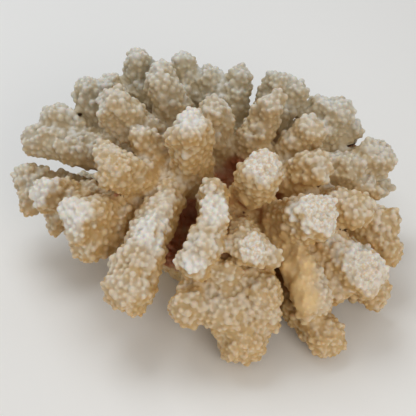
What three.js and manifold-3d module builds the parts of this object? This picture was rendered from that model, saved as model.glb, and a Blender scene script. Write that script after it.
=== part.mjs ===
// Branching coral: a bleached, dome-shaped colony of knobbly fingers that fork from one stump.
// Millimetres, +Z up, +X to the right and -Y to the front. The origin is the centre of the flat
// cut under the stump. Every main branch is its own solid, parted from its neighbours at the fork.
import * as THREE from "three";
import { mergeVertices } from "three/addons/utils/BufferGeometryUtils.js";
import Module from "manifold-3d";

const wasm = await Module();
wasm.setup();

// Stump: [radius, height] of its rings from the flat cut that the coral rests on, by the rim, to
// the crown, which slopes down to the rim at the front, and the waves of its outline.
const CUT = [33, 0];
const WAIST = [43, 15];
const RIM = [50, 27];
const SHOULDER = [45, 43];
const BROW = [30, 54];
const CROWN = [0, 59];
const STUMP_SIDES = 12;
const STUMP_WAVES = [
  { height: 2.5, count: 3, start: 0.6 },
  { height: 1.5, count: 5, start: 2 },
];

// Fingers: where their roots lie in the stump, and the lattice of lumps that covers them, whose
// rows are spaced by a share of the step between two columns. The roots of a branch lie over the
// middle of the stump by a share of the way to its tip. The ends of a finger are blunter the
// lower their fullness is; at 1 they are half balls.
const ROOT_HEIGHT = 26;
const ROOT_SPREAD = 0.22;
const LUMP_PITCH = 10.2;
const LUMP_HEIGHT = 1.4;
const HOLLOW_DEPTH = 0.8;
const LUMP_SPREAD = 0.3;
const ROW_SPACING = 0.96;
const TIP_FULLNESS = 0.65;
const FORK_GAP = 0.3;
const HASH_STEP = 7.31;
const HASH_SCALE = 43758.5453;

const CORAL = new THREE.MeshStandardMaterial({ color: 0xd8c9ac, roughness: 0.8, metalness: 0 });
const STUMP = new THREE.MeshStandardMaterial({ color: 0xa98a63, roughness: 0.9, metalness: 0 });

// The branches, in the order in which they take their room where two of them meet. Each finger
// runs "from" its root, which is over the middle of the stump where none is given, "by" a bend,
// "to" the centre of its round tip, and "girth" is its radius at those three places.
const BRANCHES = {
  front_left_branch: [
    { from: [-15, -20, 64], by: [-28, -47, 57], to: [-40, -75, 39], girth: [8, 10.5, 12.2] },
  ],
  front_crest_branch: [
    { by: [2, -32, 58], to: [2, -51, 83], girth: [8, 9, 6] },
    { from: [2, -53, 79], by: [2, -64, 67], to: [-9, -74, 54], girth: [6, 9.5, 9] },
    { by: [12, -42, 50], to: [20, -70, 61], girth: [8, 9.5, 9] },
    { from: [18, -58, 52], to: [30, -71, 56], girth: [6, 6, 5.5] },
  ],
  front_low_branch: [
    { by: [2, -50, 36], to: [-10, -82, 33], girth: [8, 11, 10.5] },
    { by: [15, -48, 38], to: [26, -79, 37], girth: [8, 12, 11] },
    { from: [8, -45, 32], to: [7, -82, 29], girth: [10, 12, 12] },
    { from: [18, -58, 28], to: [27, -81, 25], girth: [9, 9, 9.5] },
    { from: [12, -62, 24], to: [16, -87, 16], girth: [9, 11, 12.5] },
    { from: [6, -44, 42], to: [8, -71, 46], girth: [9, 10, 9.5] },
  ],
  front_right_branch: [
    { by: [39, -47, 44], to: [51, -78, 31], girth: [8, 10.5, 10] },
    { from: [28, -34, 44], to: [50, -54, 67], girth: [10, 11, 12.5] },
  ],
  front_right_low_branch: [
    { from: [22, -30, 16], by: [40, -55, 16], to: [59, -83, 12], girth: [8, 8, 10] },
  ],
  right_front_branch: [
    { by: [46, -34, 40], to: [76, -61, 36], girth: [8, 12, 12.5] },
    { from: [48, -44, 34], to: [63, -65, 27], girth: [9, 9, 8.5] },
  ],
  right_front_low_branch: [
    { from: [28, -14, 18], by: [58, -36, 22], to: [86, -56, 17], girth: [8, 8.5, 8.5] },
  ],
  right_low_branch: [
    { by: [60, -16, 34], to: [95, -25, 38], girth: [8, 10, 8.5] },
    { from: [70, -22, 32], to: [95, -34, 26], girth: [8, 8.5, 8.5] },
  ],
  right_mid_branch: [
    { by: [45, -20, 48], to: [75, -38, 57], girth: [8, 11, 10] },
  ],
  right_high_branch: [
    { by: [58, 5, 46], to: [94, 12, 53], girth: [8, 11.5, 10.5] },
    { from: [66, 4, 44], to: [88, -5, 44], girth: [6, 6, 6] },
  ],
  right_back_low_branch: [
    { from: [30, 6, 22], by: [65, 12, 29], to: [98, 15, 30], girth: [8, 8, 6] },
  ],
  centre_front_branch: [
    { by: [19, -30, 60], to: [25, -46, 88], girth: [9, 8.5, 10.8] },
  ],
  centre_right_branch: [
    { by: [32, -12, 54], to: [55, -22, 73], girth: [8, 10, 9] },
  ],
  back_right_low_branch: [
    { by: [42, 18, 52], to: [71, 28, 73], girth: [8, 11, 9.5] },
    { from: [48, 20, 58], to: [60, 29, 76], girth: [7, 7.5, 7] },
    { from: [52, 18, 50], to: [79, 23, 63], girth: [6, 6, 6] },
  ],
  back_right_front_branch: [
    { by: [34, 0, 56], to: [54, -4, 85], girth: [8, 10.5, 8] },
  ],
  back_right_branch: [
    { by: [26, 22, 56], to: [37, 34, 90], girth: [8, 10, 7.5] },
    { from: [28, 22, 58], to: [48, 31, 86], girth: [7, 8, 7] },
  ],
  back_right_spire: [
    { by: [20, 5, 62], to: [35, 6, 99], girth: [8, 11, 6] },
  ],
  back_centre_branch: [
    { by: [10, 24, 58], to: [16, 39, 90], girth: [8, 10, 7.5] },
  ],
  back_centre_left_branch: [
    { by: [0, 25, 58], to: [0, 43, 86], girth: [8, 10.5, 8.5] },
  ],
  centre_back_branch: [
    { by: [4, 6, 60], to: [2, 8, 87], girth: [8, 10, 9] },
  ],
  centre_branch: [
    { by: [-9, -17, 66], to: [-9.5, -26, 99], girth: [9, 11, 11] },
  ],
  left_tall_branch: [
    { by: [-16, 15, 60], to: [-26, 24, 98], girth: [8, 11, 9.5] },
  ],
  back_left_small_branch: [
    { by: [-9, 28, 58], to: [-15, 46, 94], girth: [8, 9.5, 7.3] },
  ],
  back_left_branch: [
    { by: [-24, 27, 58], to: [-39, 42, 95], girth: [8, 10, 9.5] },
  ],
  left_high_branch: [
    { by: [-26, 5, 62], to: [-50, 8, 91], girth: [8, 11.5, 11] },
  ],
  left_ridge_branch: [
    { by: [-20, -7, 60], to: [-37, -9, 83], girth: [8, 10.5, 7.5] },
  ],
  left_high_outer_branch: [
    { by: [-40, 20, 56], to: [-67, 33, 83], girth: [8, 10, 9] },
    { from: [-42, 24, 66], to: [-54, 36, 84], girth: [7, 8, 8] },
  ],
  left_upper_branch: [
    { by: [-52, 16, 50], to: [-87, 25, 73], girth: [8, 10.5, 8] },
  ],
  left_branch: [
    { by: [-56, 9, 58], to: [-95, 17, 62], girth: [8, 11, 9.5] },
  ],
  left_inner_branch: [
    { by: [-27, -17, 57], to: [-48, -31, 78], girth: [8, 11, 10.5] },
    { from: [-36, -18, 62], to: [-55, -20, 80], girth: [7, 8, 7] },
  ],
  left_front_branch: [
    { by: [-40, -28, 48], to: [-66, -46, 59], girth: [8, 12, 11.5] },
    { from: [-42, -32, 42], to: [-63, -52, 47], girth: [9, 9.5, 9] },
  ],
  left_low_branch: [
    { by: [-54, -10, 39], to: [-88, -16, 51], girth: [8, 11, 9.5] },
    { from: [-78, -15, 44], to: [-84, -20, 30], girth: [6, 6.5, 6] },
  ],
  left_low_outer_branch: [
    { by: [-60, 2, 34], to: [-102, 6, 45], girth: [8, 10, 8.5] },
    { from: [-86, 2, 39], to: [-98, -6, 38], girth: [7, 7.5, 7.5] },
  ],
  rear_left_branch: [
    { by: [-42, 36, 42], to: [-69, 58, 43], girth: [8, 12, 11] },
    { from: [-52, 46, 40], to: [-54, 68, 34], girth: [8, 8, 8.5] },
  ],
  rear_centre_left_branch: [
    { by: [-20, 44, 46], to: [-36, 76, 60], girth: [8, 12, 11.5] },
    { from: [-26, 58, 48], to: [-22, 80, 38], girth: [9, 9, 9.5] },
  ],
  rear_centre_branch: [
    { by: [0, 46, 43], to: [-1, 82, 53], girth: [8, 12, 11.5] },
    { from: [4, 62, 44], to: [13, 82, 37], girth: [8, 8.5, 8.5] },
  ],
  rear_centre_right_branch: [
    { by: [24, 44, 44], to: [45, 72, 54], girth: [8, 12, 10.5] },
    { from: [34, 56, 44], to: [38, 78, 36], girth: [9, 9, 9] },
  ],
  rear_right_branch: [
    { by: [44, 34, 41], to: [71, 55, 45], girth: [8, 12, 11] },
    { from: [56, 44, 38], to: [63, 60, 26], girth: [8, 8, 8] },
  ],
  rear_low_left_branch: [
    { from: [-18, 22, 18], by: [-32, 44, 19], to: [-46, 62, 18], girth: [9, 10, 11] },
  ],
  rear_low_centre_branch: [
    { from: [2, 26, 18], by: [4, 48, 19], to: [6, 72, 18], girth: [9, 10, 11] },
  ],
  rear_low_right_branch: [
    { from: [22, 20, 18], by: [36, 40, 19], to: [48, 58, 17], girth: [9, 10, 10.5] },
  ],
  left_back_low_branch: [
    { from: [-28, 10, 18], by: [-50, 20, 19], to: [-72, 30, 17], girth: [9, 10, 11] },
  ],
  right_back_low_outer_branch: [
    { from: [28, 12, 16], by: [52, 24, 19], to: [76, 33, 18], girth: [9, 9.5, 10.5] },
  ],
};

// A closed geometry as a solid that can be joined and cut.
function solidFrom(geometry) {
  geometry.deleteAttribute("normal");
  geometry.deleteAttribute("uv");
  const merged = mergeVertices(geometry);
  return new wasm.Manifold(
    new wasm.Mesh({
      numProp: 3,
      vertProperties: merged.getAttribute("position").array,
      triVerts: new Uint32Array(merged.index.array),
    }),
  );
}

// The largest body of a solid as a geometry, without the crumbs that a cut may leave.
function geometryFrom(solid) {
  const bodies = solid.decompose().sort((a, b) => b.volume() - a.volume());
  const mesh = bodies[0].getMesh();
  return new THREE.BufferGeometry()
    .setAttribute("position", new THREE.BufferAttribute(mesh.vertProperties, 3))
    .setIndex(new THREE.BufferAttribute(mesh.triVerts, 1));
}

// A repeatable number from -1 to 1 for each lump.
function chance(...keys) {
  const mixed = Math.sin(keys.reduce((sum, key) => sum * HASH_STEP + key, 1)) * HASH_SCALE;
  return 2 * (mixed - Math.floor(mixed)) - 1;
}

// Every third point of the triangular lattice is a lump, and the six points round it are hollows.
// The two ends of a finger are hollows too, which keeps them round.
function lumpAt(column, row, columns, rows, seed) {
  if (row === 0 || row === rows) return -HOLLOW_DEPTH;
  const relief = (column + row) % 3 === 0 ? LUMP_HEIGHT : -HOLLOW_DEPTH;
  return relief * (1 + LUMP_SPREAD * chance(column % columns, row, seed));
}

// The line down the middle of a finger, from its root to the centre of its round tip.
function spineOf({ from, by, to }) {
  const tip = new THREE.Vector3(...to);
  const root = from
    ? new THREE.Vector3(...from)
    : new THREE.Vector3(tip.x * ROOT_SPREAD, tip.y * ROOT_SPREAD, ROOT_HEIGHT);
  const bend = by ? new THREE.Vector3(...by) : root.clone().lerp(tip, 0.5);
  return new THREE.CatmullRomCurve3([root, bend, tip]);
}

// Radius of a finger at a share of its spine.
function radiusAt([root, bend, tip], share) {
  const { lerp } = THREE.MathUtils;
  return share < 0.5 ? lerp(root, bend, share * 2) : lerp(bend, tip, share * 2 - 1);
}

// One finger: a sphere's grid drawn out along the spine, with round ends and lumps all over.
function finger(shape, seed, grow) {
  const spine = spineOf(shape);
  const length = spine.getLength();
  const [rootRadius, , tipRadius] = shape.girth;
  const rootArc = (Math.PI / 2) * rootRadius;
  const outline = rootArc + length + (Math.PI / 2) * tipRadius;
  const around = 2 * Math.PI * Math.max(...shape.girth);
  const columns = 3 * Math.max(2, Math.round(around / (3 * LUMP_PITCH)));
  const rows = Math.round(outline / (ROW_SPACING * (around / columns)));
  const grid = new THREE.SphereGeometry(1, columns, rows);
  const position = grid.getAttribute("position");
  const upright = new THREE.Vector3(0, 0, 1);
  const facing = new THREE.Quaternion();
  for (let i = 0; i < position.count; i += 1) {
    const column = i % (columns + 1);
    const row = Math.floor(i / (columns + 1));
    const along = outline * (1 - row / rows) - rootArc;
    const share = THREE.MathUtils.clamp(along / length, 0, 1);
    let lean = 0;
    if (along < 0) lean = along / rootRadius;
    if (along > length) lean = (along - length) / tipRadius;
    const width = Math.max(0, Math.cos(lean)) ** TIP_FULLNESS;
    const lump = lumpAt(column, row, columns, rows, seed);
    const turn = (2 * Math.PI * (column - row / 2)) / columns;
    const point = new THREE.Vector3(
      width * Math.cos(turn),
      width * Math.sin(turn),
      Math.sin(lean),
    );
    point.multiplyScalar(radiusAt(shape.girth, share) + lump + grow);
    point.applyQuaternion(facing.setFromUnitVectors(upright, spine.getTangentAt(share)));
    point.add(spine.getPointAt(share));
    position.setXYZ(i, point.x, point.y, point.z);
  }
  return solidFrom(grid);
}

// The stump: a turned profile with a wavy outline, flat where it was cut from the reef.
function stump(grow) {
  const [rimRadius, rimHeight] = RIM;
  const rings = [CUT, WAIST, RIM, SHOULDER, BROW, CROWN];
  const profile = rings.map(
    ([radius, height]) =>
      new THREE.Vector2(radius > 0 ? radius + grow : 0, height > rimHeight ? height + grow : height),
  );
  const turned = new THREE.LatheGeometry([new THREE.Vector2(0, 0), ...profile], STUMP_SIDES);
  turned.rotateX(Math.PI / 2);
  const position = turned.getAttribute("position");
  const point = new THREE.Vector3();
  for (let i = 0; i < position.count; i += 1) {
    point.fromBufferAttribute(position, i);
    const slope = Math.max(0, -point.y) / rimRadius;
    const dip = slope * Math.max(0, point.z - rimHeight);
    const turn = Math.atan2(point.y, point.x);
    const wave = STUMP_WAVES.reduce(
      (sum, { height, count, start }) => sum + height * Math.sin(count * turn + start),
      0,
    );
    const scale = 1 + wave / rimRadius;
    position.setXYZ(i, point.x * scale, point.y * scale, point.z - dip);
  }
  return solidFrom(turned);
}

// A branch is its fingers joined into one solid.
function branch(fingers, firstSeed, grow) {
  const solids = fingers.map((shape, i) => finger(shape, firstSeed + i, grow));
  return solids.reduce((joined, solid) => joined.add(solid));
}

function addPiece(name, solid, material) {
  const piece = new THREE.Mesh(geometryFrom(solid), material);
  piece.name = name;
  coral.add(piece);
}

const coral = new THREE.Group();
addPiece("stump", stump(0), STUMP);

// Each branch is cut back from every piece that took its room before it.
const taken = [stump(FORK_GAP)];
let seed = 1;
for (const [name, fingers] of Object.entries(BRANCHES)) {
  const whole = branch(fingers, seed, 0);
  addPiece(name, taken.reduce((solid, other) => solid.subtract(other), whole), CORAL);
  taken.push(branch(fingers, seed, FORK_GAP));
  seed += fingers.length;
}

export default coral;
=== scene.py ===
"""The looks of a branching coral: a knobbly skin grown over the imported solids, in metres."""

import math

import bmesh
import bpy
import numpy as np
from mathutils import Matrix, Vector, noise
from mathutils.bvhtree import BVHTree
from mathutils.kdtree import KDTree


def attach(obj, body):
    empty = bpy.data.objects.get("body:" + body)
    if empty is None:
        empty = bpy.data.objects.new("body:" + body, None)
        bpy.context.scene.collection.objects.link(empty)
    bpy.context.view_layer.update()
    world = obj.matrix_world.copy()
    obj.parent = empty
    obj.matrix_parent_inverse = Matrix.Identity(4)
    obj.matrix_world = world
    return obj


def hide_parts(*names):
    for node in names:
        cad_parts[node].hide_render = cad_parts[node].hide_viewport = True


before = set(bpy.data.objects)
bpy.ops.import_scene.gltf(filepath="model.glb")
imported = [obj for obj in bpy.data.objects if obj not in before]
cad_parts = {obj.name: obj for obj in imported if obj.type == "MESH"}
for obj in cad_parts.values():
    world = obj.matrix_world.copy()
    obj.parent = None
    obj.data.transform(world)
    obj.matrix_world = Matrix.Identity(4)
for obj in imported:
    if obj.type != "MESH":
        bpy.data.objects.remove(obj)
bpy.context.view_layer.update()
NODE_NAMES = sorted(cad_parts)
MM = 0.001
TINY = 1e-12


def linear(red, green, blue):
    """A colour given as on a screen, 0 to 255, in linear light."""
    def light(value):
        share = value / 255
        return share / 12.92 if share <= 0.04045 else ((share + 0.055) / 1.055) ** 2.4
    return (light(red), light(green), light(blue), 1)


# Smooth core under the knobs
WELD_GRID = 0.01 * MM       # points of a solid that are nearer than this are one
GAP_CLOSE = 0.35 * MM       # how far each solid swells, to close the gaps at the forks
CORE_VOXEL = 1.2 * MM
SMOOTH_FACTOR = 0.5
BRANCH_ROUNDS = 24          # rounds of smoothing that take the facets off one branch
BRANCH_REGAIN = 0.3 * MM    # what the smoothing takes off a finger, less the height of its knobs
FORK_ROUNDS = 6             # rounds of smoothing that round out the forks
FORK_REGAIN = -0.5 * MM
SWELLS = ((2.4 * MM, 9 * MM), (1.6 * MM, 4.5 * MM))     # height and size of the fingers' swellings
CUT_HEIGHT = 0.5 * MM       # the stump's points below this are on its cut
FOOT_DEPTH = 12 * MM        # the stump is drawn down below the cut, and cut off again at the end
FOOT_TAPER = 0.76

# Knobs
SEED = 11
CANDIDATES = 180000
HEART = np.array([0, 0, 12 * MM])   # the point that the fingers grow away from
SKYWARD = 0.6               # how much facing up counts for a cap, besides facing outward
CAP_FACING = (0.2, 0.9)     # how directly a surface faces that way, from shaft to cap
SHAFT_SPACING = 3.3 * MM
CAP_SPACING = 2.8 * MM
FINE_SPACING = 2.3 * MM
SHAFT_RADIUS = 1.85 * MM
CAP_RADIUS = 1.65 * MM
FINE_RADIUS = 1.35 * MM
SIZE_SPREAD = 0.4           # share by which knobs differ in size and spacing
KNOB_STRETCH = 1.15         # length of a knob over its width
KNOB_LEAN = 0.6             # how far knobs lean towards the tip of their finger
KNOB_SUBDIVISIONS = 2
STEEP = 0.9                 # the axis of a knob counts as upright from this rise on
SHAFT_RISE = -0.15          # height of a knob's centre above the core, in knob radii
CAP_RISE = 0.1
FINE_RISE = 0.25
SUNK = 0.8                  # how much lower the centres lie where knobs don't thrive
STUNTED_SHRINK = 0.5        # and how much smaller the knobs are
BARE_STUNTING = 0.55        # how little they thrive where a finger is bare
SHELTER_STUNTING = 0.6      # and between fingers
CROWDED = (0.5, 0.95)       # shelter that begins to stunt knobs, and that stunts them most
SMALLEST = 0.6 * MM
BARE_HEIGHT = 5 * MM        # the foot of the stump has no knobs
BARE_REACH = (30 * MM, 58 * MM)     # knobs begin to thrive at the first distance from the heart
PATCH_FADE = (0.6, 1.2)     # a patch fades between these shares of its radius
BARE_PATCHES = [            # smooth stretches of fingers: place and radius in mm
    ((42, -68, 45), 13),
    ((33, -54, 52), 11),
    ((46, -80, 37), 9),
    ((20, -42, 68), 9),
]
FINE_PATCHES = [            # caps with finer knobs: place and radius in mm
    ((22, -74, 68), 11),
    ((30, -86, 42), 11),
    ((16, -92, 22), 13),
    ((54, -58, 76), 12),
    ((26, -48, 96), 10),
    ((-50, -38, 86), 13),
    ((-38, -82, 34), 12),
    ((60, -88, 14), 12),
    ((76, -66, 44), 9),
]
PALE_PATCHES = [            # caps that are whiter than the others: place and radius in mm
    ((54, -60, 74), 20),
    ((78, -64, 42), 18),
    ((25, -48, 96), 11),
    ((2, -60, 78), 9),
    ((-8, -80, 58), 8),
    ((-28, -58, 62), 12),
    ((-94, -18, 56), 15),
    ((-70, -50, 68), 12),
    ((-10, -26, 110), 10),
    ((22, -76, 68), 10),
]
SHADED_HOLLOWS = [         # hollows in the heart, painted dark as shade: place and radius in mm
    ((-8, -12, 52), 12),
    ((-12, -24, 46), 12),
    ((-16, -38, 40), 11),
    ((15, -4, 58), 9),
    ((6, -12, 56), 10),
    ((31, -20, 50), 10),
    ((-22, -46, 28), 14),
]

# Skin over core and knobs
SKIN_VOXEL = 0.6 * MM
SKIN_ROUNDS = 1
TRIANGLE_BUDGET = 920000
KNOB_TOP = 1.6 * MM         # height over the core that counts as the top of a knob
OPEN_ROUNDS = 8             # rounds of averaging of the values that the material reads
CAP_ROUNDS = 2
TINT_ROUNDS = 1
LABEL_DEPTH = 1 * MM        # a point belongs to the branch that is nearest at this depth
LABEL_ROUNDS = 6            # rounds of voting that make the seams between branches even
SKIRT_DEPTH = 2 * MM        # how far a branch reaches down inside the coral where it joins the others
FAN_DEPTHS = (0, 0.1, 0.2, 0.3, 0.5, 0.7)   # how far a fan may reach in, as shares of the way
SEAM_ROUNDS = 30            # rounds of averaging that widen a seam between branches to a band
SEAM_GAIN = 4               # and a factor that makes the band full again at its middle
VALUE_NAMES = ("knob", "open", "cap", "tint", "bare", "fine", "pale", "hollow_shade", "seam")

# Shelter between the fingers
SHELTER_SAMPLES = 20000
SHELTER_RAYS = 32
SHELTER_REACH = 60 * MM
SHELTER_LIFT = 1.5 * MM     # the rays start this far above the core
SHELTER_FACING = 0.1        # rays flatter than this to the core don't count
SHELTER_FADE = 0.5          # how much less a finger at full reach closes off than one close by

# Colours of the coral
# White for the knob tops of the caps: partly the coral's own pale colour, partly a painted highlight where
# the knobs face up and lie open
WHITE = linear(226, 226, 223)
# Each coat has paler knob tops and caps and darker valleys and shafts: partly the coral's own colour,
# partly painted highlight and painted shade
FRONT_COAT = {              # warm
    "shaft_valley": linear(186, 152, 100),
    "shaft_knob": linear(199, 180, 147),
    "cap_valley": linear(194, 170, 130),
    "cap_knob": linear(209, 199, 182),
    "shelter": linear(203, 168, 112),
    "bare": linear(230, 203, 154),
}
BACK_COAT = {               # a little greyer: painted cool light and shade at the back
    "shaft_valley": linear(182, 172, 149),
    "shaft_knob": linear(193, 189, 177),
    "cap_valley": linear(190, 186, 173),
    "cap_knob": linear(203, 204, 202),
    "shelter": linear(190, 176, 144),
    "bare": linear(206, 188, 150),
}
# Painted shade: the dark brown of the deepest gaps and of the hollows in the heart
DEEP_SHADE = linear(158, 98, 62)

# Where the colours go: values that a colour begins at and is full at, its share, sizes of clouds
BACK_RANGE = (-40 * MM, 50 * MM)    # from the warm front to the greyer back, a painted cool light and shade
COAT_CAP = (0.05, 0.9)
COAT_KNOB = (0.1, 0.9)
WHITE_CAP = (0, 0.7)
WHITE_KNOB = (-1.5, 0.6)
WHITE_OPEN = (0.3, 0.8)
WHITE_HEIGHT = (5 * MM, 48 * MM)    # caps are whiter higher up: partly their own colour, partly painted highlight
WHITE_CLOUDS = 18 * MM
WHITE_CLOUD_RANGE = (0.4, 0.7)
WHITE_CLOUD_SHARE = 0.5
PIT_SIZE = 1.3 * MM
PIT_EDGE = (0.35, 0.75)
PIT_SHARE = 0.5
GRAIN_SIZE = 0.6 * MM
SPECKLE_RANGE = (0.6, 0.95)
SPECKLE_SHARE = 0.4
TONE_SIZE = 5 * MM
TONE_SHARE = 0.4
BARE_CLOUDS = 6 * MM
BARE_CLOUD_RANGE = (0.1, 0.6)
# Painted amber glow and shade: light shining through and bouncing between the fingers and low down
AMBER_OPEN = (0.8, 0.35)            # fingers are more amber in shelter
AMBER_OPEN_SHARE = 0.6
AMBER_HEIGHT = (60 * MM, 20 * MM)   # and lower down
AMBER_HEIGHT_SHARE = 0.3
# painted shade: the hollows darken from the first openness to the second
HOLLOW_SHADE_OPEN = (0.9, 0.5)
# painted shade: the deepest gaps begin to darken at the first openness and are darkest at the second
DEEP_OPEN = (0.25, 0.07)

# Finish of the coral
NOISE_DETAIL = 3
ROUGHNESS = 0.6
TRANSLUCENCE = 0.9
SCATTER_RADIUS = (1.0, 0.7, 0.45)   # red light shines through furthest
SCATTER_SCALE = 2.8 * MM
BUMP_STRENGTH = 0.4
BUMP_HEIGHT = 0.2 * MM

# Studio, in metres
FLOOR_HALF = 4
FLOOR_SHADES = (0.85, 0.89)
FLOOR_CLOUDS = 0.5
FLOOR_ROUGHNESS = 0.9
WORLD_COLOUR = (1, 0.97, 0.93, 1)
WORLD_STRENGTH = 0.42
LAMP_WIDTH = 0.5
LAMP_POWER = 3
LAMPS = {                   # place, the place that it points at, colour
    "overhead": ((-0.22, 0.3, 0.8), (0, 0, 0), (0.92, 0.97, 1)),
    "front": ((0.3, -0.8, 0.5), (0, 0, 0.03), (1, 0.94, 0.84)),
}

# Photograph
IMAGE_PIXELS = 416
FOCAL_PIXELS = 1077
SENSOR = 36
CAMERA_TARGET = Vector((-1 * MM, 0, 28 * MM))
CAMERA_DISTANCE = 600 * MM
CAMERA_ELEVATION = math.radians(40)
CLIP_START = 0.01


def new_mesh(points, triangles, name):
    """A mesh of triangles from arrays."""
    mesh = bpy.data.meshes.new(name)
    mesh.vertices.add(len(points))
    mesh.vertices.foreach_set("co", np.asarray(points, np.float32).ravel())
    mesh.loops.add(triangles.size)
    mesh.loops.foreach_set("vertex_index", np.asarray(triangles, np.int32).ravel())
    mesh.polygons.add(len(triangles))
    mesh.polygons.foreach_set("loop_start", np.arange(0, triangles.size, 3, dtype=np.int32))
    mesh.update(calc_edges=True)
    mesh.validate()
    return mesh


def arrays_of(mesh):
    """The points and triangles of a mesh as arrays."""
    points = np.empty(len(mesh.vertices) * 3, np.float32)
    mesh.vertices.foreach_get("co", points)
    mesh.calc_loop_triangles()
    triangles = np.empty(len(mesh.loop_triangles) * 3, np.int32)
    mesh.loop_triangles.foreach_get("vertices", triangles)
    return points.reshape(-1, 3).astype(float), triangles.reshape(-1, 3)


def edges_of(mesh):
    """The two point numbers of each edge."""
    edges = np.empty(len(mesh.edges) * 2, np.int32)
    mesh.edges.foreach_get("vertices", edges)
    return edges.reshape(-1, 2)


def normals_of(mesh):
    """The smooth normal at each point of a mesh."""
    normals = np.empty(len(mesh.vertices) * 3, np.float32)
    mesh.vertex_normals.foreach_get("vector", normals)
    return normals.reshape(-1, 3).astype(float)


def placed(mesh, name):
    """A new object in the scene."""
    made = bpy.data.objects.new(name, mesh)
    bpy.context.scene.collection.objects.link(made)
    return made


def modified(mesh, *steps):
    """The mesh after modifiers, each given as its type and its settings."""
    holder = placed(mesh, "holder")
    for kind, settings in steps:
        modifier = holder.modifiers.new(kind.lower(), kind)
        for key, value in settings.items():
            setattr(modifier, key, value)
    graph = bpy.context.evaluated_depsgraph_get()
    result = bpy.data.meshes.new_from_object(holder.evaluated_get(graph))
    bpy.data.objects.remove(holder)
    return result


def remesh(voxel):
    """The modifier that joins all that overlaps into one even skin."""
    return ("REMESH", {"mode": "VOXEL", "voxel_size": voxel})


def smooth(rounds):
    """The modifier that smooths a mesh, which also takes a little off it."""
    return ("SMOOTH", {"factor": SMOOTH_FACTOR, "iterations": rounds})


def swell(distance):
    """The modifier that moves a surface outward."""
    return ("DISPLACE", {"strength": distance, "mid_level": 0})


def unit(vectors):
    """Vectors of length 1."""
    return vectors / np.maximum(np.linalg.norm(vectors, axis=1), TINY)[:, None]


def ramp(low, high, values):
    """A smooth rise from 0 at low to 1 at high."""
    share = np.clip((values - low) / (high - low), 0, 1)
    return share * share * (3 - 2 * share)


def together(shapes):
    """Several sets of points and triangles as one, with the number of the set of each triangle."""
    starts = np.cumsum([0] + [len(points) for points, _ in shapes])
    points = np.concatenate([points for points, _ in shapes])
    triangles = np.concatenate([triangles + start for (_, triangles), start in zip(shapes, starts)])
    numbers = np.repeat(np.arange(len(shapes)), [len(triangles) for _, triangles in shapes])
    return points, triangles, numbers


def welded(points, triangles):
    """Joins points that lie on each other, so that a solid swells without cracks."""
    grid = np.round(points / WELD_GRID)
    _, first, inverse = np.unique(grid, axis=0, return_index=True, return_inverse=True)
    return points[first], inverse.reshape(-1)[triangles]


def with_foot(points):
    """The stump drawn down below its cut, along its own taper."""
    foot = points.copy()
    low = foot[:, 2] < CUT_HEIGHT
    foot[low, :2] *= FOOT_TAPER
    foot[low, 2] -= FOOT_DEPTH
    return foot


def smooth_branch(name):
    """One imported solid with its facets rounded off."""
    points, triangles = welded(*arrays_of(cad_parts[name].data))
    if name == "stump":
        points = with_foot(points)
    mesh = new_mesh(points, triangles, name)
    steps = (swell(GAP_CLOSE), remesh(CORE_VOXEL), smooth(BRANCH_ROUNDS), swell(BRANCH_REGAIN))
    return arrays_of(modified(mesh, *steps))


def uneven(points, normals):
    """Points moved in and out a little, so that no finger is a plain rod."""
    offset = np.zeros(len(points))
    for height, size in SWELLS:
        offset += [height * noise.noise(Vector(place) / size) for place in points.tolist()]
    return points + normals * offset[:, None]


def grow_core(points, triangles):
    """One body through all the branches, with rounded forks."""
    mesh = new_mesh(points, triangles, "branches")
    core = modified(mesh, remesh(CORE_VOXEL), smooth(FORK_ROUNDS), swell(FORK_REGAIN))
    points, triangles = arrays_of(core)
    return new_mesh(uneven(points, normals_of(core)), triangles, "core")


def tree_of(points, triangles):
    """A tree that finds the nearest place on a surface, and what a ray hits."""
    return BVHTree.FromPolygons(points.tolist(), triangles.tolist())


def point_tree(points):
    """A tree that finds the nearest of some points."""
    tree = KDTree(len(points))
    for number, place in enumerate(points.tolist()):
        tree.insert(place, number)
    tree.balance()
    return tree


def sphere_directions(count):
    """Directions spread evenly over a sphere, on a spiral that turns by the golden angle."""
    step = np.arange(count) + 0.5
    height = 1 - 2 * step / count
    turn = step * math.pi * (3 - math.sqrt(5))
    flat = np.sqrt(1 - height * height)
    return np.stack([flat * np.cos(turn), flat * np.sin(turn), height], axis=1)


def shelter_samples(points, normals, tree):
    """Places on the core, and at each the share of the open side that other fingers close off."""
    chosen = np.linspace(0, len(points) - 1, SHELTER_SAMPLES).astype(int)
    rays = sphere_directions(SHELTER_RAYS)
    values = []
    for place, normal in zip(points[chosen], normals[chosen]):
        facing = rays @ normal
        counted = facing > SHELTER_FACING
        weights = facing[counted]
        start = Vector(place + normal * SHELTER_LIFT)
        hits = [tree.ray_cast(start, Vector(ray), SHELTER_REACH)[3] for ray in rays[counted]]
        closed = [0 if hit is None else 1 - SHELTER_FADE * hit / SHELTER_REACH for hit in hits]
        values.append(np.dot(weights, closed) / weights.sum())
    return points[chosen], np.array(values)


def spread_out(points, spacing):
    """Numbers of the points that keep their spacing from all that were taken before them."""
    size = spacing.max()
    cells = np.floor(points / size).astype(int)
    around = [(i, j, k) for i in (-1, 0, 1) for j in (-1, 0, 1) for k in (-1, 0, 1)]
    grid = {}
    taken = []
    rows = zip(points.tolist(), cells.tolist(), spacing.tolist())
    for number, ((x, y, z), (a, b, c), gap) in enumerate(rows):
        near = (p for i, j, k in around for p in grid.get((a + i, b + j, c + k), ()))
        if all((x - p) ** 2 + (y - q) ** 2 + (z - r) ** 2 > gap * gap for p, q, r in near):
            grid.setdefault((a, b, c), []).append((x, y, z))
            taken.append(number)
    return np.array(taken)


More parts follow.
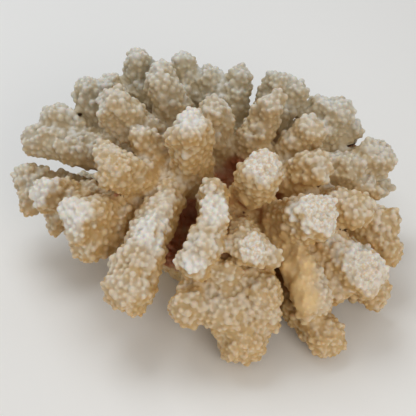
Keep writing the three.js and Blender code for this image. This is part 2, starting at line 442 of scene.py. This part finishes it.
def scatter(points, triangles, count, chance):
    """Random places on a surface with their normals, spread by area."""
    corners = points[triangles]
    cross = np.cross(corners[:, 1] - corners[:, 0], corners[:, 2] - corners[:, 0])
    area = np.linalg.norm(cross, axis=1)
    picked = chance.choice(len(triangles), count, p=area / area.sum())
    first, second = chance.random(count), chance.random(count)
    fold = first + second > 1
    first[fold], second[fold] = 1 - first[fold], 1 - second[fold]
    corner = corners[picked]
    places = corner[:, 0] + first[:, None] * (corner[:, 1] - corner[:, 0])
    places += second[:, None] * (corner[:, 2] - corner[:, 0])
    return places, unit(cross[picked])


def looked_up(places, tree, values):
    """At each place the value of the nearest sample."""
    return values[[tree.find(place)[1] for place in places.tolist()]]


def cap_share(places, normals):
    """How much a place belongs to the cap of a finger, which faces outward and up."""
    outward = unit(places - HEART) + np.array([0, 0, SKYWARD])
    return ramp(*CAP_FACING, np.einsum("ij,ij->i", unit(outward), normals))


def patch_share(places, patches):
    """How much each place belongs to any of some round patches, which fade at their edges."""
    share = np.zeros(len(places))
    full, gone = PATCH_FADE
    for centre, radius in patches:
        distance = np.linalg.norm(places - np.array(centre) * MM, axis=1)
        share = np.maximum(share, 1 - ramp(full * radius * MM, gone * radius * MM, distance))
    return share


def bareness(places):
    """How bare of knobs a place is: near the heart, and on the smooth stretches."""
    inner = 1 - ramp(*BARE_REACH, np.linalg.norm(places - HEART, axis=1))
    return np.maximum(inner, patch_share(places, BARE_PATCHES))


def between(shaft, cap, fine, cap_shares, fine_shares):
    """A value of knobs that goes from shafts to caps, and on to the finest caps."""
    plain = shaft + (cap - shaft) * cap_shares
    return plain + (fine - plain) * fine_shares


def choose_knobs(core, chance, shelter_tree, shelter):
    """Centres, axes and sizes of the knobs."""
    points, triangles = arrays_of(core)
    places, normals = scatter(points, triangles, CANDIDATES, chance)
    keep = places[:, 2] > BARE_HEIGHT
    places, normals = places[keep], normals[keep]
    cap = cap_share(places, normals)
    fine = patch_share(places, FINE_PATCHES)
    scale = 1 + SIZE_SPREAD * chance.uniform(-1, 1, len(places))
    taken = spread_out(places, scale * between(SHAFT_SPACING, CAP_SPACING, FINE_SPACING, cap, fine))
    places, normals, cap, fine, scale = (part[taken] for part in (places, normals, cap, fine, scale))
    closed = looked_up(places, shelter_tree, shelter)
    stunted = np.maximum(BARE_STUNTING * bareness(places), SHELTER_STUNTING * ramp(*CROWDED, closed))
    size = scale * between(SHAFT_RADIUS, CAP_RADIUS, FINE_RADIUS, cap, fine)
    size *= 1 - STUNTED_SHRINK * stunted
    rise = between(SHAFT_RISE, CAP_RISE, FINE_RISE, cap, fine) - SUNK * stunted
    axes = unit(normals + KNOB_LEAN * unit(places - HEART))
    centres = places + normals * (size * rise)[:, None]
    big = size > SMALLEST
    return centres[big], axes[big], size[big]


def knob_meshes(centres, axes, size):
    """All knobs as ellipsoids in one set of points and triangles."""
    ball = bmesh.new()
    bmesh.ops.create_icosphere(ball, subdivisions=KNOB_SUBDIVISIONS, radius=1)
    shape = np.array([v.co for v in ball.verts])
    faces = np.array([[v.index for v in f.verts] for f in ball.faces])
    ball.free()
    helper = np.where(np.abs(axes[:, 2:]) < STEEP, [[0.0, 0.0, 1.0]], [[1.0, 0.0, 0.0]])
    side = unit(np.cross(axes, helper))
    other = np.cross(axes, side)
    local = np.stack([side, other, axes * KNOB_STRETCH], axis=1) * size[:, None, None]
    points = np.einsum("vk,nkc->nvc", shape, local) + centres[:, None, :]
    triangles = faces[None] + (np.arange(len(centres)) * len(shape))[:, None, None]
    return points.reshape(-1, 3), triangles.reshape(-1, 3)


def cut_flat(mesh):
    """Cuts the skin off flat at the floor and closes the cut."""
    work = bmesh.new()
    work.from_mesh(mesh)
    everything = work.verts[:] + work.edges[:] + work.faces[:]
    down = (0, 0, -1)
    cut = bmesh.ops.bisect_plane(work, geom=everything, plane_co=(0, 0, 0), plane_no=down, clear_outer=True)
    rim = [e for e in cut["geom_cut"] if isinstance(e, bmesh.types.BMEdge)]
    bmesh.ops.triangle_fill(work, edges=rim, use_beauty=True, normal=down)
    bmesh.ops.triangulate(work, faces=work.faces[:])
    work.to_mesh(mesh)
    work.free()
    return mesh


def grow_skin(core, centres, axes, size):
    """The core and its knobs grown together into one skin, cut off flat at the floor."""
    points, triangles, _ = together([arrays_of(core), knob_meshes(centres, axes, size)])
    voxel = SKIN_VOXEL
    skin = modified(new_mesh(points, triangles, "growth"), remesh(voxel), smooth(SKIN_ROUNDS))
    count = 2 * len(skin.polygons)
    if count > TRIANGLE_BUDGET:
        skin = modified(skin, ("DECIMATE", {"ratio": TRIANGLE_BUDGET / count}))
    return cut_flat(skin)


def eased(values, edges, rounds):
    """Values at points, averaged half and half with their neighbours."""
    count = len(values)
    degree = np.bincount(edges.ravel(), minlength=count)
    for _ in range(rounds):
        total = np.bincount(edges[:, 0], values[edges[:, 1]], count)
        total += np.bincount(edges[:, 1], values[edges[:, 0]], count)
        values = 0.5 * values + 0.5 * total / np.maximum(degree, 1)
    return values


def most_common_near(labels, edges):
    """Each point takes the label that most of its neighbours and itself have."""
    count = len(labels)
    own = np.arange(count)
    point = np.concatenate([edges[:, 0], edges[:, 1], own])
    label = np.concatenate([labels[edges[:, 1]], labels[edges[:, 0]], labels])
    codes, votes = np.unique(point.astype(np.int64) * len(NODE_NAMES) + label, return_counts=True)
    order = np.argsort(votes, kind="stable")
    result = labels.copy()
    result[codes[order] // len(NODE_NAMES)] = codes[order] % len(NODE_NAMES)
    return result


def islands(labels, edges):
    """A number for each patch of joined points with one label."""
    same = edges[labels[edges[:, 0]] == labels[edges[:, 1]]]
    lowest = np.arange(len(labels))
    while True:
        lower = lowest.copy()
        np.minimum.at(lower, same[:, 0], lowest[same[:, 1]])
        np.minimum.at(lower, same[:, 1], lowest[same[:, 0]])
        lower = lower[lower]
        if np.array_equal(lower, lowest):
            return lowest
        lowest = lower


def without_specks(labels, edges):
    """Gives every patch of a label but its largest one to the labels around it."""
    patch = islands(labels, edges)
    size = np.bincount(patch, minlength=len(labels))
    labels = labels.copy()
    for number in range(len(NODE_NAMES)):
        mine = np.nonzero(labels == number)[0]
        if len(mine) == 0:
            continue
        largest = patch[mine[np.argmax(size[patch[mine]])]]
        labels[mine[patch[mine] != largest]] = -1
    while (labels < 0).any():
        before = (labels < 0).sum()
        for near, far in (edges.T, edges[:, ::-1].T):
            open_end = (labels[near] < 0) & (labels[far] >= 0)
            labels[near[open_end]] = labels[far[open_end]]
        if (labels < 0).sum() == before:
            break
    return labels


def node_of_points(points, normals, edges, branch_tree, owners):
    """The number of the CAD node that each point of the skin belongs to."""
    inside = points - normals * LABEL_DEPTH
    labels = owners[[branch_tree.find_nearest(place)[2] for place in inside.tolist()]]
    for _ in range(LABEL_ROUNDS):
        labels = most_common_near(labels, edges)
    return without_specks(labels, edges)


def node_of_triangles(labels, triangles):
    """The number of the CAD node that most corners of each triangle belong to."""
    corners = labels[triangles]
    return np.where(corners[:, 1] == corners[:, 2], corners[:, 1], corners[:, 0])


def seam_share(labels, edges):
    """How near each point is to a seam between two branches: 1 on it, 0 a few millimetres away."""
    apart = edges[labels[edges[:, 0]] != labels[edges[:, 1]]]
    share = np.zeros(len(labels))
    share[apart.ravel()] = 1
    return np.minimum(1, SEAM_GAIN * eased(share, edges, SEAM_ROUNDS))


def open_rims(points, triangles):
    """The edges that have a triangle on one side only, and the number of the loop that each is in."""
    sides = np.concatenate([triangles[:, [0, 1]], triangles[:, [1, 2]], triangles[:, [2, 0]]])
    codes = sides.min(1).astype(np.int64) * len(points) + sides.max(1)
    _, first, votes = np.unique(codes, return_index=True, return_counts=True)
    rim = sides[first[votes == 1]]
    return rim, islands(np.zeros(len(points), int), rim)[rim[:, 0]]


def crosses(tree, start, end):
    """Whether a straight line from start to end leaves the coral."""
    way = end - start
    return tree.ray_cast(start, way, np.linalg.norm(way))[0] is not None


def fan_middle(skirt, branch_middle, tree):
    """The middle of a fan: near the mean of its skirt, where the fewest of its edges leave the coral."""
    mean = skirt.mean(0)
    middles = [mean + (goal - mean) * share for goal in (HEART, branch_middle) for share in FAN_DEPTHS]
    outside = [sum(crosses(tree, middle, place) for place in skirt) for middle in middles]
    return middles[int(np.argmin(outside))]


def sunk(places, tree):
    """Places on the skin moved down to a depth under the surface of the core."""
    found = [tree.find_nearest(place) for place in places.tolist()]
    return np.array([spot - normal * SKIRT_DEPTH for spot, normal, _, _ in found])


def closed_inside(points, triangles, tree):
    """Closes a branch where it joins the others: a skirt down into the coral, then a fan."""
    rim, loop = open_rims(points, triangles)
    if len(rim) == 0:
        return points, triangles
    edge_points, place = np.unique(rim, return_inverse=True)
    skirt = sunk(points[edge_points], tree)
    below = place.reshape(-1, 2) + len(points)
    walls = [np.stack([rim[:, 1], rim[:, 0], below[:, 0]], axis=1)]
    walls.append(np.stack([rim[:, 1], below[:, 0], below[:, 1]], axis=1))
    middles = []
    for number in np.unique(loop):
        part = below[loop == number]
        middle = np.full(len(part), len(points) + len(skirt) + len(middles))
        walls.append(np.stack([part[:, 1], part[:, 0], middle], axis=1))
        middles.append(fan_middle(skirt[np.unique(part) - len(points)], points.mean(0), tree))
    return np.concatenate([points, skirt, middles]), np.concatenate([triangles, *walls])


def add_values(mesh, name, values):
    """A value at each point of a mesh, which the material reads by its name."""
    mesh.attributes.new(name, "FLOAT", "POINT").data.foreach_set("value", values.astype(np.float32))


def make_piece(number, skin, faces, core_tree):
    """One branch of the skin as its own closed object, in the place of its CAD node."""
    used, local = np.unique(faces, return_inverse=True)
    points, triangles = closed_inside(skin["points"][used], local.reshape(-1, 3), core_tree)
    extra = len(points) - len(used)
    mesh = new_mesh(points, triangles, NODE_NAMES[number] + "_skin")
    for name in VALUE_NAMES:
        add_values(mesh, name, np.concatenate([skin[name][used], np.zeros(extra)]))
    mesh.polygons.foreach_set("use_smooth", np.ones(len(mesh.polygons), bool))
    inner_normals = np.tile([[0.0, 0.0, 1.0]], (extra, 1))
    mesh.normals_split_custom_set_from_vertices(np.concatenate([skin["normals"][used], inner_normals]))
    piece = placed(mesh, NODE_NAMES[number] + "_skin")
    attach(piece, "root")
    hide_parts(NODE_NAMES[number])
    return piece


class Nodes:
    """Builds a material's nodes with short calls."""

    def __init__(self, name):
        self.material = bpy.data.materials.new(name)
        self.material.use_nodes = True
        self.tree = self.material.node_tree
        self.shader = self.tree.nodes["Principled BSDF"]

    def put(self, kind, **inputs):
        """A node with its inputs fed by name."""
        node = self.tree.nodes.new(kind)
        for key, value in inputs.items():
            self.feed(node.inputs[key], value)
        return node

    def feed(self, socket, value):
        """Links a socket to another one, or sets its value."""
        if isinstance(value, bpy.types.NodeSocket):
            self.tree.links.new(value, socket)
        else:
            socket.default_value = value

    def attribute(self, name):
        """A value that the mesh has at each point."""
        node = self.tree.nodes.new("ShaderNodeAttribute")
        node.attribute_name = name
        return node.outputs["Fac"]

    def place(self):
        """The place in the object's own frame."""
        return self.tree.nodes.new("ShaderNodeTexCoord").outputs["Object"]

    def along(self, axis):
        """How far along an axis the place is."""
        node = self.put("ShaderNodeSeparateXYZ", Vector=self.place())
        return node.outputs[axis]

    def math(self, operation, first, second):
        """Two values made into one between 0 and 1."""
        node = self.tree.nodes.new("ShaderNodeMath")
        node.operation = operation
        node.use_clamp = True
        self.feed(node.inputs[0], first)
        self.feed(node.inputs[1], second)
        return node.outputs[0]

    def product(self, *values):
        """Values multiplied with each other."""
        result = values[0]
        for value in values[1:]:
            result = self.math("MULTIPLY", result, value)
        return result

    def ramp(self, value, low, high):
        """A smooth rise from 0 at low to 1 at high."""
        node = self.tree.nodes.new("ShaderNodeMapRange")
        node.interpolation_type = "SMOOTHSTEP"
        self.feed(node.inputs["Value"], value)
        node.inputs["From Min"].default_value = low
        node.inputs["From Max"].default_value = high
        return node.outputs["Result"]

    def mix(self, share, first, second):
        """A share of the second colour on the first, by the numbers of the node's colour sockets."""
        node = self.tree.nodes.new("ShaderNodeMix")
        node.data_type = "RGBA"
        self.feed(node.inputs["Factor"], share)
        self.feed(node.inputs[6], first)
        self.feed(node.inputs[7], second)
        return node.outputs[2]

    def noise(self, size):
        """Soft clouds of a size, as a share from 0 to 1."""
        node = self.put("ShaderNodeTexNoise", Vector=self.place(), Scale=1 / size, Detail=NOISE_DETAIL)
        return node.outputs["Fac"]


def coat(build, colours):
    """Knobs paler than the valleys between them, and caps paler than shafts: partly the coral's own colour,
    partly a painted highlight on the lit tops and painted shade in the valleys and on the shafts.
    """
    cap = build.ramp(build.attribute("cap"), *COAT_CAP)
    knob = build.ramp(build.attribute("knob"), *COAT_KNOB)
    valley = build.mix(cap, colours["shaft_valley"], colours["cap_valley"])
    top = build.mix(cap, colours["shaft_knob"], colours["cap_knob"])
    return build.mix(knob, valley, top)


def whiteness(build):
    """The share of white: much on the knobs of the palest caps, some on others, none in shelter; partly the
    caps' own paler colour, partly a painted highlight on open knob tops that face up.
    """
    cap = build.ramp(build.attribute("cap"), *WHITE_CAP)
    knob = build.ramp(build.attribute("knob"), *WHITE_KNOB)
    high = build.ramp(build.along("Z"), *WHITE_HEIGHT)
    lit = build.ramp(build.attribute("open"), *WHITE_OPEN)
    some = build.product(build.ramp(build.noise(WHITE_CLOUDS), *WHITE_CLOUD_RANGE), WHITE_CLOUD_SHARE)
    pale = build.math("MAXIMUM", some, build.attribute("pale"))
    return build.product(cap, knob, high, lit, pale)


def pits(build):
    """Small pits between the finest knobs of some caps, as a share from 0 to 1."""
    cells = build.put("ShaderNodeTexVoronoi", Vector=build.place(), Scale=1 / PIT_SIZE)
    edge = build.ramp(cells.outputs["Distance"], *PIT_EDGE)
    return build.product(edge, build.attribute("fine"), build.attribute("cap"))


def amber_shares(build, grain, pitted):
    """The shares of amber: by knob, in speckles, in pits, and a painted amber glow and shade between the
    fingers and low down.
    """
    tone = build.product(build.attribute("tint"), build.noise(TONE_SIZE), TONE_SHARE)
    speckles = build.product(build.ramp(grain, *SPECKLE_RANGE), SPECKLE_SHARE)
    in_pits = build.product(pitted, PIT_SHARE)
    # painted amber glow and shade: between the fingers and low down
    between_fingers = build.product(build.ramp(build.attribute("open"), *AMBER_OPEN), AMBER_OPEN_SHARE)
    low_down = build.product(build.ramp(build.along("Z"), *AMBER_HEIGHT), AMBER_HEIGHT_SHARE)
    return tone, speckles, in_pits, between_fingers, low_down


def coral_colour(build, grain, pitted):
    """A chalky coat of knobs, amber where it is bare, with a painted amber glow and shade where it is
    sheltered or low, and painted dark shade in the deepest gaps and hollows.
    """
    openness = build.attribute("open")
    # painted cool light and shade: the coat turns greyer towards the back
    back = build.ramp(build.along("Y"), *BACK_RANGE)
    colour = build.mix(back, coat(build, FRONT_COAT), coat(build, BACK_COAT))
    colour = build.mix(whiteness(build), colour, WHITE)
    bare = build.mix(back, FRONT_COAT["bare"], BACK_COAT["bare"])
    clouds = build.ramp(build.noise(BARE_CLOUDS), *BARE_CLOUD_RANGE)
    colour = build.mix(build.product(build.attribute("bare"), clouds), colour, bare)
    # painted amber glow and shade: the amber that sheltered and low places take
    shelter = build.mix(back, FRONT_COAT["shelter"], BACK_COAT["shelter"])
    for share in amber_shares(build, grain, pitted):
        colour = build.mix(share, colour, shelter)
    # painted shade: the listed hollows turn dark where they are sheltered
    hollow_shading = build.product(build.attribute("hollow_shade"), build.ramp(openness, *HOLLOW_SHADE_OPEN))
    # painted shade: the deepest gaps and the listed hollows turn dark brown
    deep_shade = build.math("MAXIMUM", build.ramp(openness, *DEEP_OPEN), hollow_shading)
    return build.mix(deep_shade, colour, DEEP_SHADE)


def translucence(build):
    """How much light shines through: less at a seam, where it can't pass on into the next branch."""
    return build.product(build.ramp(build.attribute("seam"), 1, 0), TRANSLUCENCE)


def coral_material():
    """Chalky coral that light shines through, with a fine grain and pits."""
    build = Nodes("coral")
    grain = build.noise(GRAIN_SIZE)
    pitted = pits(build)
    build.feed(build.shader.inputs["Base Color"], coral_colour(build, grain, pitted))
    build.shader.inputs["Roughness"].default_value = ROUGHNESS
    build.feed(build.shader.inputs["Subsurface Weight"], translucence(build))
    build.shader.inputs["Subsurface Radius"].default_value = SCATTER_RADIUS
    build.shader.inputs["Subsurface Scale"].default_value = SCATTER_SCALE
    relief = build.math("SUBTRACT", grain, pitted)
    bump = build.put("ShaderNodeBump", Strength=BUMP_STRENGTH, Distance=BUMP_HEIGHT, Height=relief)
    build.feed(build.shader.inputs["Normal"], bump.outputs["Normal"])
    return build.material


def floor():
    """A plain pale floor."""
    build = Nodes("floor")
    darker, paler = ((shade, shade, shade, 1) for shade in FLOOR_SHADES)
    build.feed(build.shader.inputs["Base Color"], build.mix(build.noise(FLOOR_CLOUDS), darker, paler))
    build.shader.inputs["Roughness"].default_value = FLOOR_ROUGHNESS
    mesh = bpy.data.meshes.new("floor")
    corners = [(x * FLOOR_HALF, y * FLOOR_HALF, 0) for x, y in ((-1, -1), (1, -1), (1, 1), (-1, 1))]
    mesh.from_pydata(corners, [], [(0, 1, 2, 3)])
    mesh.materials.append(build.material)
    plane = placed(mesh, "floor")


def lamp(name, place, aim, colour):
    """A soft square light that points at a place."""
    data = bpy.data.lights.new(name, "AREA")
    data.size = LAMP_WIDTH
    data.energy = LAMP_POWER
    data.color = colour
    made = placed(data, name)
    made.location = place
    made.rotation_euler = (Vector(aim) - Vector(place)).to_track_quat("-Z", "Y").to_euler()


def lights():
    """Soft light from all around, a cool lamp above and behind, and a warm one in front."""
    world = bpy.data.worlds.new("studio")
    world.use_nodes = True
    background = world.node_tree.nodes["Background"]
    background.inputs["Color"].default_value = WORLD_COLOUR
    background.inputs["Strength"].default_value = WORLD_STRENGTH
    bpy.context.scene.world = world
    for name, (place, aim, colour) in LAMPS.items():
        lamp(name, place, aim, colour)


def camera():
    """The photograph's camera, which looks down on the front."""
    data = bpy.data.cameras.new("camera")
    data.sensor_width = SENSOR
    data.lens = SENSOR * FOCAL_PIXELS / IMAGE_PIXELS
    data.clip_start = CLIP_START
    made = placed(data, "camera")
    back = Vector((0, -math.cos(CAMERA_ELEVATION), math.sin(CAMERA_ELEVATION)))
    made.location = CAMERA_TARGET + back * CAMERA_DISTANCE
    made.rotation_euler = (-back).to_track_quat("-Z", "Y").to_euler()
    bpy.context.scene.camera = made


def skin_values(mesh, core_tree, shelter_tree, shelter, centres, chance):
    """The skin's points, normals and edges, and the values that its material reads at each point."""
    points = arrays_of(mesh)[0]
    edges = edges_of(mesh)
    nearest = [core_tree.find_nearest(place) for place in points.tolist()]
    height = np.array([found[3] for found in nearest])
    core_normals = np.array([found[1] for found in nearest])
    tints = chance.random(len(centres))
    return {
        "points": points,
        "normals": normals_of(mesh),
        "edges": edges,
        "knob": np.clip(height / KNOB_TOP, 0, 1),
        "open": 1 - eased(looked_up(points, shelter_tree, shelter), edges, OPEN_ROUNDS),
        "cap": eased(cap_share(points, core_normals), edges, CAP_ROUNDS),
        "tint": eased(looked_up(points, point_tree(centres), tints), edges, TINT_ROUNDS),
        "bare": bareness(points),
        "fine": patch_share(points, FINE_PATCHES),
        "pale": patch_share(points, PALE_PATCHES),
        "hollow_shade": patch_share(points, SHADED_HOLLOWS),
    }


def dress():
    """Grows the skin over all solids and splits it into one piece for each CAD node."""
    chance = np.random.default_rng(SEED)
    branch_points, branch_triangles, owners = together([smooth_branch(name) for name in NODE_NAMES])
    core = grow_core(branch_points, branch_triangles)
    core_points, core_triangles = arrays_of(core)
    core_tree = tree_of(core_points, core_triangles)
    sample_places, shelter = shelter_samples(core_points, normals_of(core), core_tree)
    shelter_tree = point_tree(sample_places)
    centres, axes, size = choose_knobs(core, chance, shelter_tree, shelter)
    mesh = grow_skin(core, centres, axes, size)
    skin = skin_values(mesh, core_tree, shelter_tree, shelter, centres, chance)
    branch_tree = tree_of(branch_points, branch_triangles)
    labels = node_of_points(skin["points"], skin["normals"], skin["edges"], branch_tree, owners)
    skin["seam"] = seam_share(labels, skin["edges"])
    triangles = arrays_of(mesh)[1]
    face_label = node_of_triangles(labels, triangles)
    coral = coral_material()
    for number, name in enumerate(NODE_NAMES):
        piece = make_piece(number, skin, triangles[face_label == number], core_tree)
        piece.data.materials.append(coral)


dress()
floor()
lights()
camera()
bpy.context.scene.view_settings.view_transform = "Standard"
